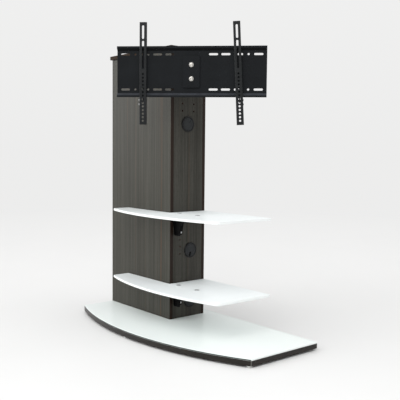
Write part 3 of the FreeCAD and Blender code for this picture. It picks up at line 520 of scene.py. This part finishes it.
def csk(bm, centre, axis, d, h, shank_d, length, n=40):
    """A countersunk screw with a cross recess; centre is on its flat top, axis points out of it."""
    u, v, w = basis(axis)
    c = Vector(centre)

    def ring(r, z):
        return [bm.verts.new(c + w * z + (u * math.cos(t) + v * math.sin(t)) * r)
                for t in (2 * math.pi * i / n for i in range(n))]

    def cross(arm, half, z):
        out = []
        for i in range(n):
            t = 2 * math.pi * i / n
            k = (t + math.pi / 4) % (math.pi / 2) - math.pi / 4
            r = min(arm / math.cos(k), half / max(1e-6, abs(math.sin(k))))
            out.append(bm.verts.new(c + w * z + (u * math.cos(t) + v * math.sin(t)) * r))
        return out

    rows = [ring(shank_d * 0.12, -length), ring(shank_d * 0.5, -length + shank_d * 1.2), ring(shank_d * 0.5, -h), ring(d * 0.5, -0.0003),
            ring(d * 0.485, 0.0), cross(d * 0.3, d * 0.075, 0.0), cross(d * 0.285, d * 0.07, -0.0004), cross(d * 0.14, d * 0.05, -h * 0.62)]
    for a, b in zip(rows, rows[1:]):
        for i in range(n):
            j = (i + 1) % n
            bm.faces.new((a[i], a[j], b[j], b[i]))
    for row, z in ((rows[0], -length - shank_d * 0.1), (rows[-1], -h * 0.66)):
        tip = bm.verts.new(c + w * z)
        for i in range(n):
            bm.faces.new((row[i], row[(i + 1) % n], tip))


def bead(bm, path, w, closed=False):
    """A rippled weld fillet. path holds (corner, a, b): a and b run from the corner along the two faces it joins."""
    rings = []
    count = len(path)
    for i, (corner, a, b) in enumerate(path):
        s = w * (1.0 + 0.14 * math.sin(2 * math.pi * i / 3.0) + 0.05 * math.sin(i * 1.7))
        if not closed:
            s *= min(1.0, 0.45 + 0.2 * min(i, count - 1 - i))
        c = corner - (a + b) * 0.0004
        rings.append([bm.verts.new(q) for q in (c, c + a * (s + 0.0004), c + (a * 0.74 + b * 0.36) * s, c + (a * 0.36 + b * 0.74) * s, c + b * (s + 0.0004))])
    pairs = list(zip(rings, rings[1:])) + ([(rings[-1], rings[0])] if closed else [])
    for lo, hi in pairs:
        for k in range(5):
            bm.faces.new((lo[k], lo[(k + 1) % 5], hi[(k + 1) % 5], hi[k]))
    if not closed:
        bm.faces.new(rings[0][::-1])
        bm.faces.new(rings[-1])


def run(start, end, a, b, step=0.0011):
    """A straight weld path."""
    p, q = Vector(start), Vector(end)
    n = max(4, int((q - p).length / step))
    return [(p.lerp(q, i / n), Vector(a), Vector(b)) for i in range(n + 1)]


def plain(node, mat):
    """A node that keeps its CAD shape and takes a new finish."""
    ob = NODE[node]
    ob.data.materials.clear()
    ob.data.materials.append(MATS[mat])


# ------------------------------------------------------------------ sizes, metres
ARC_X, ARC_Y, ARC_R = -0.055, 1.0756, 1.337
SH_X, SH_Y, SH_R = -0.027, 1.119, 1.268
PIV = Vector((-0.034, 0.095, 0.0))
N_DIR = Vector((math.sqrt(0.5), -math.sqrt(0.5), 0.0))
U_DIR = Vector((math.sqrt(0.5), math.sqrt(0.5), 0.0))
ANCHORS = [(-0.5, 0.04), (-0.14, 0.04), (-0.5, 0.154), (-0.14, 0.154)]


def flat(a, b, h):
    return Vector((a, b, h))


def bowed(x0, x1, back, cx, cy, R, steps=72):
    front = []
    for i in range(steps + 1):
        x = x0 + (x1 - x0) * i / steps
        front.append((x, cy - math.sqrt(R * R - (x - cx) ** 2)))
    return front + [(x1, back), (x0, back)]


def soften(loop, spots, n=8):
    """Rounds chosen corners of a loop: spots are (x, y, radius)."""
    out = []
    m = len(loop)
    for i, p in enumerate(loop):
        hit = [r for x, y, r in spots if math.hypot(p[0] - x, p[1] - y) < 0.006]
        if not hit:
            out.append(p)
            continue
        r = hit[0]
        p1 = Vector(p)
        # walk outwards along both sides until a straight run of the radius' length is met
        def walk(step):
            k, last = i, p1
            gone = 0.0
            while True:
                k += step
                q = Vector(loop[k % m])
                d = (q - last).length
                if gone + d >= r:
                    return last.lerp(q, (r - gone) / d), k
                gone += d
                last = q
        a, _ = walk(-1)
        b, _ = walk(1)
        while out and (Vector(out[-1]) - p1).length <= (a - p1).length + 1e-6:
            out.pop()
        for k in range(n + 1):
            t = k / n
            out.append(tuple(a.lerp(p1, t).lerp(p1.lerp(b, t), t)))
    # drop points that the last corner has swallowed
    clean = []
    for p in out:
        if not clean or (Vector(p) - Vector(clean[-1])).length > 1e-5:
            clean.append(p)
    return clean


# ------------------------------------------------------------------ base
base_loop = bowed(-0.56, 0.56, 0.254, ARC_X, ARC_Y, ARC_R)
base_loop = soften(base_loop, [(x, ARC_Y - math.sqrt(ARC_R ** 2 - (x - ARC_X) ** 2), 0.002) for x in (-0.56, 0.56)]
                   + [(x, 0.254, 0.002) for x in (-0.56, 0.56)], n=4)
bm = bmesh.new()
slab(bm, base_loop, 0.007, 0.027, flat, r=0.0008, seg=2, edge=1)
# a thin pale strip runs up each corner of the edge bands: the bands' joint plus a painted highlight along the corner
corners = [Vector((x, y)) for x in (-0.56, 0.56) for y in (0.254, ARC_Y - math.sqrt(ARC_R ** 2 - (x - ARC_X) ** 2))]
for f in bm.faces:
    c = f.calc_center_median()
    if 0.009 < c.z < 0.025 and len(f.verts) == 4 and min((c.xy - k).length for k in corners) < 0.0019:
        f.material_index = 2
add("base_board_edge_banded", bm, ("base_wood", "worn_wood", "pale_joint_painted_highlight"), "base_board")

bm = bmesh.new()
slab(bm, base_loop, 0.027, 0.033, flat, r=0.0016, seg=4, holes=[circle(x, y, 0.007, 24) for x, y in ANCHORS])
add("base_glass_polished", bm, "base_glass", "base_glass")

bm = bmesh.new()
lo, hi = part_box("base_feet")
for x, y in [(-0.058, -0.247), (0.544, -0.104), (0.538, 0.232), (-0.538, 0.232), (-0.538, -0.14), (0.0, 0.232), (0.26, -0.16)]:
    lathe(bm, [(0.005, 0.003), (0.005, 0.0006), (0.0056, 0.0), (0.0092, 0.0), (0.0099, 0.0006), (0.0104, 0.0016), (0.0119, 0.0062),
               (0.012, 0.007), (0.0021, 0.007), (0.0021, 0.003)], (x, y, 0), (0, 0, 1), 40, closed=True)
add("glides", bm, "clear_plastic", "base_feet")

# ------------------------------------------------------------------ column


def panel(node, mat, a0, a1, z0, z1, h0, h1, to3, holes=(), r=0.0008):
    b = bmesh.new()
    slab(b, [(a0, z0), (a1, z0), (a1, z1), (a0, z1)], h0, h1, to3, r=r, seg=2, holes=holes, hole_r=0.0005, wall=1, edge=2)
    # hole walls take the darkened chipboard, painted shade inside the bores
    return add("look_" + node, b, (mat, "bore_wall_painted_shade", "worn_wood"), node)


def front_face(a, z, h):
    return Vector((a, h, z))


def side_face(a, z, h):
    return Vector((h, a, z))


panel("column_front_panel", "front_wood", -0.56, -0.08, 0.033, 1.232, -0.002, 0.014, front_face)
panel("column_back_panel", "front_wood", -0.56, -0.08, 0.033, 1.232, 0.18, 0.196, front_face,
      holes=[circle(x, z, 0.0042, 20) for x in (-0.552, -0.088) for z in (0.09, 0.35, 0.62, 0.9, 1.19)]
      + [circle(-0.32, z, 0.0042, 20) for z in (0.044, 0.648, 1.221)])
panel("column_left_panel", "side_wood", 0.014, 0.18, 0.033, 1.232, -0.56, -0.544, side_face)
right_holes = [circle(y, z, 0.0302, 48) for y, z in ((0.093, 0.91), (0.1125, 0.339), (0.1125, 0.109))]
right_holes += [circle(y, z, r, 20) for y in (0.063, 0.127) for z, r in ((0.968, 0.0035), (1.0, 0.0035), (1.064, 0.0045), (1.16, 0.0045))]
right_holes += [circle(0.054, z, 0.003, 20) for z in (0.326, 0.358, 0.39)]
for top in (0.1965, 0.516):
    right_holes += [circle(y, top + dz, 0.0035, 20) for y, dz in ((0.055, -0.092), (0.055, -0.03), (0.038, -0.03))]
panel("column_right_panel", "side_wood", 0.014, 0.18, 0.033, 1.232, -0.096, -0.08, side_face, holes=right_holes)

bm = bmesh.new()
slab(bm, [(-0.568, -0.01), (-0.072, -0.01), (-0.072, 0.204), (-0.568, 0.204)], 1.232, 1.249, flat, r=0.0009, seg=3, edge=1)
add("look_column_top_cap", bm, ("cap_wood", "worn_wood"), "column_top_cap")

bm = bmesh.new()
for x, z in [(x, z) for x in (-0.552, -0.088) for z in (0.09, 0.35, 0.62, 0.9, 1.19)] + [(-0.32, z) for z in (0.044, 0.648, 1.221)]:
    csk(bm, (x, 0.196, z), (0, 1, 0), 0.008, 0.003, 0.004, 0.0395)
add("look_back_panel_screws", bm, "steel", "back_panel_screws")

# ------------------------------------------------------------------ shelves
for name, top in (("lower", 0.1965), ("upper", 0.516)):
    y_r = SH_Y - math.sqrt(SH_R ** 2 - (0.351 - SH_X) ** 2)
    y_l = SH_Y - math.sqrt(SH_R ** 2 - (-0.411 - SH_X) ** 2)
    front = []
    for i in range(61):
        x = -0.411 + 0.762 * i / 60
        front.append((x, SH_Y - math.sqrt(SH_R ** 2 - (x - SH_X) ** 2)))
    loop = front + [(0.351, 0.196), (-0.078, 0.196), (-0.078, -0.004), (-0.411, -0.004)]
    loop = soften(loop, [(0.351, y_r, 0.015), (-0.411, y_l, 0.008), (0.351, 0.196, 0.003), (-0.078, 0.196, 0.004),
                         (-0.078, -0.004, 0.005), (-0.411, -0.004, 0.004)])
    bm = bmesh.new()
    slab(bm, loop, top - 0.01, top, flat, r=0.0013, seg=3, holes=[circle(x, 0.004, 0.004, 20) for x in (-0.024, 0.103)])
    add("look_%s_shelf" % name, bm, "shelf_glass", "%s_shelf_glass" % name)
    # the shelf bracket and its welds take the darkened bracket steel, painted shade under the shelf
    refine("%s_shelf_bracket" % name, "bracket_steel", r=0.0009, seg=2)

    # welds between the bracket's web, bar and wall flange
    bm = bmesh.new()
    low = top - 0.017
    for y, out in ((0.019, -1), (0.025, 1)):
        bead(bm, run((-0.07, y, low), (0.106, y, low), (0, out, 0), (0, 0, -1)), 0.0026)
        bead(bm, run((-0.075, y, top - 0.1), (-0.075, y, low - 0.003), (0, out, 0), (1, 0, 0)), 0.0026)
    bead(bm, run((-0.075, 0.0065, low), (-0.075, 0.0165, low), (1, 0, 0), (0, 0, -1)), 0.0022)
    add("%s_bracket_welds" % name, bm, "bracket_steel", body="stand")

bm = bmesh.new()
for top in (0.1965, 0.516):
    for x in (-0.024, 0.103):
        lathe(bm, [(0.0, -0.0255), (0.0026, -0.0255), (0.003, -0.025), (0.003, 0.0), (0.0106, 0.0), (0.011, 0.0004),
                   (0.0109, 0.0013), (0.0103, 0.0021), (0.0092, 0.0025), (0.004, 0.00245), (0.0, 0.0024)],
              (x, 0.004, top), (0, 0, 1), 48)
add("look_shelf_discs", bm, "satin_steel", "shelf_discs")

bm = bmesh.new()
for top in (0.1965, 0.516):
    for y, dz in ((0.055, -0.092), (0.055, -0.03), (0.038, -0.03)):
        button(bm, (-0.075, y, top + dz), (1, 0, 0), 0.0088, 0.0033, 0.004, 0.0018, shank=0.026, shank_d=0.006)
add("look_bracket_screws", bm, "screw_steel", "bracket_screws")

# ------------------------------------------------------------------ cable caps
for name, y, z, clock in (("top", 0.093, 0.91, 30), ("middle", 0.1125, 0.339, 190), ("bottom", 0.1125, 0.109, 60)):
    bm = bmesh.new()
    lathe(bm, [(0.028, -0.018), (0.03, -0.018), (0.03, 0.0), (0.0344, 0.0), (0.035, 0.0006), (0.035, 0.0024), (0.0346, 0.0033),
               (0.0337, 0.0039), (0.0326, 0.004), (0.0296, 0.004), (0.0286, 0.0037), (0.028, 0.0029)], (-0.08, y, z), (1, 0, 0), 72, closed=True)
    add("look_cable_ring_" + name, bm, "ring_plastic", "cable_ring_" + name)

    # cap with its cable notch: a round plate with a round-ended bay, and a shallow skirt behind
    turn = math.radians(clock)

    def face(a, b, h, y=y, z=z, turn=turn):
        return Vector((h, y + a * math.cos(turn) + b * math.sin(turn), z - a * math.sin(turn) + b * math.cos(turn)))

    R, half, low = 0.0276, 0.004, 0.007
    t = math.asin(half / R)
    rim = [(R * math.sin(a), R * math.cos(a)) for a in (t + (2 * math.pi - 2 * t) * i / 72 for i in range(73))]
    bay = [(-half, low + 0.003), (-half + 0.001, low + 0.001), (-half + 0.003, low), (half - 0.003, low), (half - 0.001, low + 0.001), (half, low + 0.003)]
    bm = bmesh.new()
    if name == "top":
        # the notch is still closed here: only its outline is let into the face
        slab(bm, circle(0, 0, R, 73), -0.0806, -0.0768, face, r=0.0003, seg=1)
        slab(bm, rim + bay, -0.07682, -0.0758, face, r=0.0005, seg=3)
    else:
        slab(bm, rim + bay, -0.0806, -0.0758, face, r=0.0009, seg=3)
    inner = 0.0255
    t2 = math.asin(half / inner)
    outer_arc = [(R * math.sin(a), R * math.cos(a)) for a in (t + 0.02 + (2 * math.pi - 2 * t - 0.04) * i / 72 for i in range(73))]
    inner_arc = [(inner * math.sin(a), inner * math.cos(a)) for a in (t2 + 0.02 + (2 * math.pi - 2 * t2 - 0.04) * i / 72 for i in range(73))]
    slab(bm, outer_arc + inner_arc[::-1], -0.092, -0.0804, face, r=0.0003, seg=1)
    ring = [(0.0212 * math.sin(a), 0.0212 * math.cos(a)) for a in (0.28 + (2 * math.pi - 0.56) * i / 64 for i in range(65))]
    ring += [(0.0196 * math.sin(a), 0.0196 * math.cos(a)) for a in (0.28 + (2 * math.pi - 0.56) * i / 64 for i in range(64, -1, -1))]
    slab(bm, ring, -0.0759, -0.0753, face, r=0.00025, seg=2)
    add("look_cable_cap_" + name, bm, "cap_plastic", "cable_cap_" + name)

# ------------------------------------------------------------------ mount
for node, mat, r in (("mount_plate", "black_steel", 0.0005), ("clamp_plate", "black_steel", 0.0008),
                     ("swivel_arm", "black_steel", 0.0008), ("hinge_plate", "black_steel", 0.0008),
                     ("left_rail", "rail_steel", 0.0005), ("right_rail", "rail_steel", 0.0005),
                     ("left_rail_lock", "black_steel", 0.0004), ("right_rail_lock", "black_steel", 0.0004),
                     ("pin_nut", "steel", 0.0006), ("swivel_pin", "steel", 0.0), ("pin_washer", "steel", 0.0), ("shelf_nuts", "steel", 0.0004)):
    # the bevel faces of the black parts take the lighter edge steel: wear plus a painted highlight on every edge
    refine(node, mat, r=r, seg=2, edge="worn_and_highlit_edge_steel" if mat != "steel" else None)

bm = bmesh.new()
for dz in (-0.029, 0.029):
    c = PIV + N_DIR * 0.155 + Vector((0, 0, 1.12 + dz))
    lathe(bm, [(0.0053, 0.0), (0.0098, 0.0), (0.01, 0.0002), (0.01, 0.0013), (0.0097, 0.0016), (0.0055, 0.0016), (0.0053, 0.0014)],
          c, N_DIR, 48, closed=True)
add("look_clamp_washers", bm, "bright_steel", "clamp_washers")
bm = bmesh.new()
for dz in (-0.029, 0.029):
    c = PIV + N_DIR * 0.1566 + Vector((0, 0, 1.12 + dz))
    button(bm, c, N_DIR, 0.0165, 0.005, 0.006, 0.0032, shank=0.0186, shank_d=0.01)
add("look_clamp_bolts", bm, "bright_steel", "clamp_bolts")

# welds on the arm and on the hinge
spin = Matrix.Rotation(math.radians(45), 3, "Z")


def on_arm(x, y, z):
    return PIV + spin @ Vector((x, y, 0)) + Vector((0, 0, z))


bm = bmesh.new()
seam = []
for cx, cz, t0 in ((0.014, 1.134, 0.0), (-0.014, 1.134, 90.0), (-0.014, 1.09, 180.0), (0.014, 1.09, 270.0)):
    for i in range(9):
        t = math.radians(t0 + 90 * i / 8)
        seam.append((cx + 0.006 * math.cos(t), cz + 0.006 * math.sin(t), math.cos(t), math.sin(t)))
path = []
for (x, z, nx, nz), (x2, z2, nx2, nz2) in zip(seam, seam[1:] + seam[:1]):
    n = max(1, int(math.hypot(x2 - x, z2 - z) / 0.0012))
    for i in range(n):
        k = i / n
        out = Vector((nx + (nx2 - nx) * k, 0, nz + (nz2 - nz) * k)).normalized()
        path.append((on_arm(x + (x2 - x) * k, -0.1375, z + (z2 - z) * k), spin @ out, spin @ Vector((0, 1, 0))))
bead(bm, path, 0.0034, closed=True)
for z, way in ((1.14, 1), (1.084, -1)):
    path = []
    for i in range(33):
        t = math.radians(-142 + 104 * i / 32)
        out = Vector((math.cos(t), math.sin(t), 0))
        path.append((on_arm(0.017 * out.x, 0.017 * out.y, z), spin @ out, Vector((0, 0, way))))
    bead(bm, path, 0.0026)
add("arm_welds", bm, "black_steel", body="arm")
bm = bmesh.new()
for z, way in ((1.064, -1), (1.072, 1), (1.152, -1), (1.16, 1)):
    bead(bm, run((-0.074, 0.077, z), (-0.074, 0.113, z), (1, 0, 0), (0, 0, way)), 0.003)
add("hinge_welds", bm, "black_steel", body="stand")

bm = bmesh.new()
for y in (0.063, 0.127):
    for z in (1.064, 1.16):
        button(bm, (-0.074, y, z), (1, 0, 0), 0.014, 0.0044, 0.005, 0.0025, shank=0.03, shank_d=0.008)
add("look_hinge_screws", bm, "black_screw", "hinge_screws")


def lock_screws(node, mat, at, side, head, turn):
    b = bmesh.new()
    for v in (-0.118, -0.136):
        local = Vector((0.015 * side, -0.158, v))
        button(b, at + turn @ local, turn @ Vector((side, 0, 0)), 0.009, head, 0.003, head * 0.6, shank=0.006, shank_d=0.005, n=36)
    add("look_" + node, b, mat, node)


lock_screws("left_lock_screws", "dull_steel", PIV + spin @ Vector((-0.203, 0, 0)) + Vector((0, 0, 1.12)), -1, 0.0034, spin)
lean = spin @ Matrix.Rotation(math.radians(-2.9), 3, "Y")
lock_screws("right_lock_screws", "black_screw", PIV + spin @ Vector((0.197, 0, 0)) + Vector((0, 0, 1.12)), 1, 0.002, lean)

# ------------------------------------------------------------------ pieces that keep their CAD shape
KEEP = {
    "foot_screws": "steel", "anchor_bolts": "steel", "anchor_washers": "steel", "anchor_inserts": "steel",
    "column_bottom_board": "inner_board", "column_mid_board": "inner_board", "column_top_board": "inner_board",
    "cap_screws": "steel", "column_dowels": "dowel_wood", "cam_locks": "zinc", "cam_bolts": "steel",
    "shelf_pads": "pad_rubber", "bracket_backing_plates": "steel", "hinge_backing_plate": "steel",
    "friction_washers": "nylon", "arm_bushes": "nylon",
}
for node, mat in KEEP.items():
    plain(node, mat)

# ------------------------------------------------------------------ floor, light, camera
floor_mat = Shader("pale_floor", Specular_IOR_Level=0.15)
soft = floor_mat.noise(3.0, 3, 0.5)
floor_mat.to("Base Color", floor_mat.mix(soft, (0.805, 0.805, 0.8), (0.825, 0.825, 0.82)))
floor_mat.to("Roughness", floor_mat.span(soft, 0.3, 0.7, 0.5, 0.6))
far = floor_mat.node("ShaderNodeVectorMath", operation="LENGTH")
floor_mat.link(floor_mat.place, far.inputs[0])
veil = floor_mat.node("ShaderNodeEmission")
veil.inputs["Color"].default_value = (1.0, 1.0, 0.995, 1.0)
veil.inputs["Strength"].default_value = 0.845
fade = floor_mat.node("ShaderNodeMixShader")
floor_mat.link(floor_mat.span(far.outputs["Value"], 1.9, 6.0), fade.inputs[0])
floor_mat.tree.links.new(floor_mat.bsdf.outputs[0], fade.inputs[1])
floor_mat.tree.links.new(veil.outputs[0], fade.inputs[2])
floor_mat.tree.links.new(fade.outputs[0], floor_mat.out.inputs[0])
me = bpy.data.meshes.new("floor")
ring = [(40 * math.cos(2 * math.pi * i / 96), 40 * math.sin(2 * math.pi * i / 96), 0.0) for i in range(96)]
me.from_pydata(ring, [], [tuple(range(96))])
floor = bpy.data.objects.new("floor", me)
scene.collection.objects.link(floor)
me.materials.append(floor_mat.mat)

# plain soft light: bright overhead and to both sides, dimmer behind the camera, with a broad soft glow ahead and one to the left
world = bpy.data.worlds.new("studio")
scene.world = world
world.use_nodes = True
wt = world.node_tree
wt.nodes.clear()


def wnode(kind, **props):
    n = wt.nodes.new(kind)
    for key, value in props.items():
        setattr(n, key, value)
    return n


def wmap(value, a, b, c, d):
    n = wnode("ShaderNodeMapRange")
    wt.links.new(value, n.inputs["Value"])
    for key, v in (("From Min", a), ("From Max", b), ("To Min", c), ("To Max", d)):
        n.inputs[key].default_value = v
    return n.outputs["Result"]


def wmath(op, a, b=0.0):
    n = wnode("ShaderNodeMath", operation=op)
    for value, socket in ((a, n.inputs[0]), (b, n.inputs[1])):
        if hasattr(value, "is_output"):
            wt.links.new(value, socket)
        else:
            socket.default_value = value
    return n.outputs[0]


sky = wnode("ShaderNodeTexCoord").outputs["Generated"]


def towards(direction):
    n = wnode("ShaderNodeVectorMath", operation="DOT_PRODUCT")
    wt.links.new(sky, n.inputs[0])
    n.inputs[1].default_value = direction
    return n.outputs["Value"]


glow = wmap(towards((0, 0, 1)), -0.1, 1.0, 0.42, 1.12)
sides = wmap(wmath("ABSOLUTE", towards((0.77, 0.64, 0.0))), 0.3, 1.0, 0.0, 0.34)
behind = wmap(towards((0.77, -0.64, 0.0)), 0.3, 1.0, 0.0, -0.12)
ahead = wmap(towards((-0.33, -0.873, 0.357)), 0.86, 1.0, 0.0, 1.75)
left = wmap(towards((-0.873, -0.48, 0.08)), 0.82, 1.0, 0.0, 2.15)
level = wmath("ADD", wmath("ADD", glow, wmath("ADD", sides, behind)), wmath("ADD", ahead, left))
lit = wnode("ShaderNodeBackground")
lit.inputs[0].default_value = (1.0, 1.0, 1.0, 1.0)
wt.links.new(level, lit.inputs[1])
seen = wnode("ShaderNodeBackground")
seen.inputs[0].default_value = (1.0, 1.0, 0.995, 1.0)
wt.links.new(wmap(towards((0, 0, 1)), 0.0, 0.35, 0.845, 0.88), seen.inputs[1])
which = wnode("ShaderNodeMixShader")
wt.links.new(wnode("ShaderNodeLightPath").outputs["Is Camera Ray"], which.inputs[0])
wt.links.new(lit.outputs[0], which.inputs[1])
wt.links.new(seen.outputs[0], which.inputs[2])
wt.links.new(which.outputs[0], wnode("ShaderNodeOutputWorld").inputs[0])
scene.view_settings.view_transform = "Standard"
scene.view_settings.look = "None"


def softbox(name, spot, aim, size, power, tint=(1, 1, 1)):
    data = bpy.data.lights.new(name, "AREA")
    data.shape = "RECTANGLE"
    data.size, data.size_y = size
    data.energy = power
    data.color = tint
    ob = bpy.data.objects.new(name, data)
    scene.collection.objects.link(ob)
    ob.location = spot
    ob.rotation_euler = (Vector(aim) - Vector(spot)).to_track_quat("-Z", "Y").to_euler()
    return ob


softbox("front_top", (1.0, -1.5, 2.4), (0.0, -0.1, 0.3), (1.2, 1.2), 14)

cam_data = bpy.data.cameras.new("camera")
cam_data.sensor_fit = "HORIZONTAL"
cam_data.sensor_width = 36.0
cam_data.lens = 36.0 * 656.9 / 400.0
cam_data.clip_end = 60
cam = bpy.data.objects.new("camera", cam_data)
scene.collection.objects.link(cam)
az, el, roll = math.radians(50.339), math.radians(4.148), math.radians(0.563)
back = Vector((math.sin(az) * math.cos(el), -math.cos(az) * math.cos(el), math.sin(el)))
right = Vector((math.cos(az), math.sin(az), 0))
up = back.cross(right)
r2 = right * math.cos(roll) + up * math.sin(roll)
u2 = up * math.cos(roll) - right * math.sin(roll)
m = Matrix((r2, u2, back)).transposed().to_4x4()
m.translation = Vector((2.2413, -1.7559, 0.7842))
cam.matrix_world = m
scene.camera = cam
